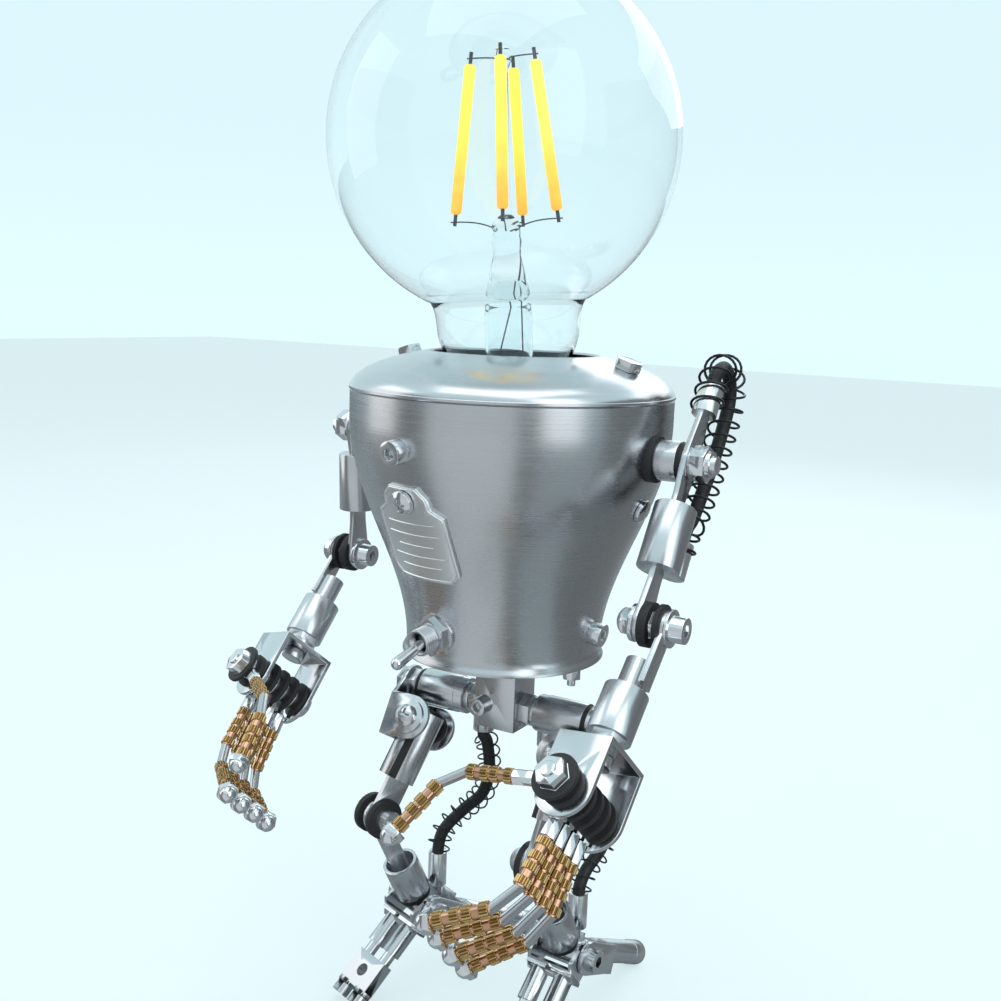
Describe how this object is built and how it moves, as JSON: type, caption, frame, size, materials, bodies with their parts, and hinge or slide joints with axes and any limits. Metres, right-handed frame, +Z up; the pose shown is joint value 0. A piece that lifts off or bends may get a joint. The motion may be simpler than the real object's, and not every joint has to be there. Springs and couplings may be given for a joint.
{
  "type": "robot desk lamp",
  "caption": "Desk lamp shaped like a small jointed robot: flared steel body with a toggle switch, clear globe bulb as head, swing arms with curled fingers, bent legs and tendon springs.",
  "frame": {"origin": "centre of the bounding box on the surface the feet stand on", "axes": "+Z up, the figure faces -Y, its own left is +X"},
  "size_m": [0.1124, 0.1178, 0.2514],
  "materials": {
    "brushed_steel": "satin brushed stainless",
    "polished_steel": "polished",
    "brass_inserts": "knurled bright brass with steel rods",
    "black_rubber": "matt",
    "black_spring_steel": "black oxide",
    "black_plastic": "matt",
    "clear_glass": "clear",
    "yellow_phosphor": "matt",
    "dark_wire": "dark"
  },
  "bodies": {
    "torso": {"body_shell": "brushed_steel", "top_dome": "brushed_steel", "bottom_dish": "brushed_steel", "bulb_glass": "clear_glass", "bulb_stem": "clear_glass", "bulb_filaments": "yellow_phosphor", "bulb_wires": "dark_wire", "bulb_cap": "brushed_steel", "lampholder": "black_plastic", "lampholder_bracket": "brushed_steel", "tag_plate": "polished_steel", "body_screws": "polished_steel", "switch_body": "brushed_steel", "switch_nut": "polished_steel", "cable_grommet": "black_rubber", "hip_block": "brushed_steel", "hip_axle": "brushed_steel", "hip_spacers": "brushed_steel", "shoulder_bolts": "brushed_steel", "shoulder_spacers": "brushed_steel", "shoulder_rubbers": "black_rubber"},
    "switch_lever": {"switch_lever": "polished_steel"},
    "left_upper_arm": {"left_arm_link": "brushed_steel", "left_arm_cord": "black_rubber", "left_arm_spring": "black_spring_steel"},
    "left_forearm": {"left_forearm": "brushed_steel", "left_elbow_bolt": "polished_steel"},
    "left_hand": {"left_hand_bracket": "brushed_steel", "left_finger_bolt": "polished_steel"},
    "left_finger_1": {"left_finger_1": "brass_inserts"},
    "left_finger_2": {"left_finger_2": "brass_inserts"},
    "left_finger_3": {"left_finger_3": "brass_inserts"},
    "left_finger_4": {"left_finger_4": "brass_inserts"},
    "left_thumb": {"left_thumb": "brass_inserts"},
    "left_hip_bracket": {"left_hip_bracket": "polished_steel"},
    "left_thigh": {"left_thigh": "brushed_steel"},
    "left_shin": {"left_shin": "brushed_steel", "left_leg_cord": "black_rubber", "left_leg_spring": "black_spring_steel"},
    "left_foot": {"left_foot": "polished_steel", "left_heel": "brushed_steel"},
    "right_upper_arm": {"right_arm_link": "brushed_steel"},
    "right_forearm": {"right_forearm": "brushed_steel", "right_elbow_bolt": "polished_steel"},
    "right_hand": {"right_hand_bracket": "brushed_steel", "right_finger_bolt": "polished_steel"},
    "right_finger_1": {"right_finger_1": "brass_inserts"},
    "right_finger_2": {"right_finger_2": "brass_inserts"},
    "right_finger_3": {"right_finger_3": "brass_inserts"},
    "right_finger_4": {"right_finger_4": "brass_inserts"},
    "right_thumb": {"right_thumb": "brass_inserts"},
    "right_hip_bracket": {"right_hip_bracket": "polished_steel"},
    "right_thigh": {"right_thigh": "brushed_steel"},
    "right_shin": {"right_shin": "brushed_steel", "right_leg_cord": "black_rubber", "right_leg_spring": "black_spring_steel"},
    "right_foot": {"right_foot": "polished_steel", "right_heel": "brushed_steel"}
  },
  "joints": [
    {"name": "toggle", "type": "hinge", "parent": "torso", "child": "switch_lever", "pos_m": [-0.00353, -0.00611, 0.10051], "axis": [-0.9877, 0.1564, 0], "range_deg": [0, 26]},
    {"name": "left_shoulder", "type": "hinge", "parent": "torso", "child": "left_upper_arm", "pos_m": [0.04628, 0.01896, 0.14297], "axis": [-1, 0, 0], "range_deg": [-30, 45]},
    {"name": "left_elbow", "type": "hinge", "parent": "left_upper_arm", "child": "left_forearm", "pos_m": [0.04898, -0.00201, 0.11188], "axis": [-1, 0, 0], "range_deg": [-40, 50]},
    {"name": "left_wrist", "type": "hinge", "parent": "left_forearm", "child": "left_hand", "pos_m": [0.04898, -0.02432, 0.09108], "axis": [0, 0.7314, 0.682], "range_deg": [-90, 90]},
    {"name": "left_finger_1_curl", "type": "hinge", "parent": "left_hand", "child": "left_finger_1", "pos_m": [0.04817, -0.03512, 0.08727], "axis": [0.1736, 0.6716, -0.7202], "range_deg": [-20, 20]},
    {"name": "left_finger_2_curl", "type": "hinge", "parent": "left_hand", "child": "left_finger_2", "pos_m": [0.04871, -0.03304, 0.08503], "axis": [0.1736, 0.6716, -0.7202], "range_deg": [-20, 20]},
    {"name": "left_finger_3_curl", "type": "hinge", "parent": "left_hand", "child": "left_finger_3", "pos_m": [0.04925, -0.03095, 0.0828], "axis": [0.1736, 0.6716, -0.7202], "range_deg": [-20, 20]},
    {"name": "left_finger_4_curl", "type": "hinge", "parent": "left_hand", "child": "left_finger_4", "pos_m": [0.04979, -0.02887, 0.08057], "axis": [0.1736, 0.6716, -0.7202], "range_deg": [-20, 20]},
    {"name": "left_thumb_swing", "type": "hinge", "parent": "left_hand", "child": "left_thumb", "pos_m": [0.04736, -0.03828, 0.09065], "axis": [0.1736, 0.6716, -0.7202], "range_deg": [-20, 20]},
    {"name": "left_hip_swing", "type": "hinge", "parent": "torso", "child": "left_hip_bracket", "pos_m": [0.02168, 0.02246, 0.07797], "axis": [-1, 0, 0], "range_deg": [-25, 25]},
    {"name": "left_hip_spread", "type": "hinge", "parent": "left_hip_bracket", "child": "left_thigh", "pos_m": [0.02168, 0.01771, 0.06974], "axis": [0, -0.866, 0.5], "range_deg": [-8, 12]},
    {"name": "left_knee", "type": "hinge", "parent": "left_thigh", "child": "left_shin", "pos_m": [0.02081, 0.00522, 0.0481], "axis": [0.9976, -0.0697, 0], "range_deg": [-35, 40], "deforming": ["left_leg_cord", "left_leg_spring"]},
    {"name": "left_ankle", "type": "hinge", "parent": "left_shin", "child": "left_foot", "pos_m": [0.02178, 0.01917, 0.021], "axis": [0.9976, -0.0697, 0], "range_deg": [-12, 16]},
    {"name": "right_shoulder", "type": "hinge", "parent": "torso", "child": "right_upper_arm", "pos_m": [-0.04492, 0.02096, 0.14297], "axis": [-1, 0, 0], "range_deg": [-15, 60]},
    {"name": "right_elbow", "type": "hinge", "parent": "right_upper_arm", "child": "right_forearm", "pos_m": [-0.04762, 0.02213, 0.10949], "axis": [-1, 0, 0], "range_deg": [-40, 50]},
    {"name": "right_wrist", "type": "hinge", "parent": "right_forearm", "child": "right_hand", "pos_m": [-0.04762, 0.00075, 0.08773], "axis": [0, -0.7009, -0.7133], "range_deg": [-90, 90]},
    {"name": "right_finger_1_curl", "type": "hinge", "parent": "right_hand", "child": "right_finger_1", "pos_m": [-0.04936, -0.00968, 0.08327], "axis": [-0.3746, -0.6613, 0.6499], "range_deg": [-20, 20]},
    {"name": "right_finger_2_curl", "type": "hinge", "parent": "right_hand", "child": "right_finger_2", "pos_m": [-0.0482, -0.00763, 0.08125], "axis": [-0.3746, -0.6613, 0.6499], "range_deg": [-20, 20]},
    {"name": "right_finger_3_curl", "type": "hinge", "parent": "right_hand", "child": "right_finger_3", "pos_m": [-0.04704, -0.00558, 0.07924], "axis": [-0.3746, -0.6613, 0.6499], "range_deg": [-20, 20]},
    {"name": "right_finger_4_curl", "type": "hinge", "parent": "right_hand", "child": "right_finger_4", "pos_m": [-0.04588, -0.00353, 0.07722], "axis": [-0.3746, -0.6613, 0.6499], "range_deg": [-20, 20]},
    {"name": "right_thumb_swing", "type": "hinge", "parent": "right_hand", "child": "right_thumb", "pos_m": [-0.05112, -0.01279, 0.08632], "axis": [-0.3746, -0.6613, 0.6499], "range_deg": [-20, 20]},
    {"name": "right_hip_swing", "type": "hinge", "parent": "torso", "child": "right_hip_bracket", "pos_m": [-0.02032, 0.02246, 0.07797], "axis": [-1, 0, 0], "range_deg": [-25, 25]},
    {"name": "right_hip_spread", "type": "hinge", "parent": "right_hip_bracket", "child": "right_thigh", "pos_m": [-0.02032, 0.01771, 0.06974], "axis": [0, 0.866, -0.5], "range_deg": [-14, 2]},
    {"name": "right_knee", "type": "hinge", "parent": "right_thigh", "child": "right_shin", "pos_m": [-0.02466, 0.0054, 0.04842], "axis": [0.9431, -0.3326, 0], "range_deg": [-35, 40], "deforming": ["right_leg_cord", "right_leg_spring"]},
    {"name": "right_ankle", "type": "hinge", "parent": "right_shin", "child": "right_foot", "pos_m": [-0.02022, 0.018, 0.021], "axis": [0.9431, -0.3326, 0], "range_deg": [-12, 16]}
  ]
}
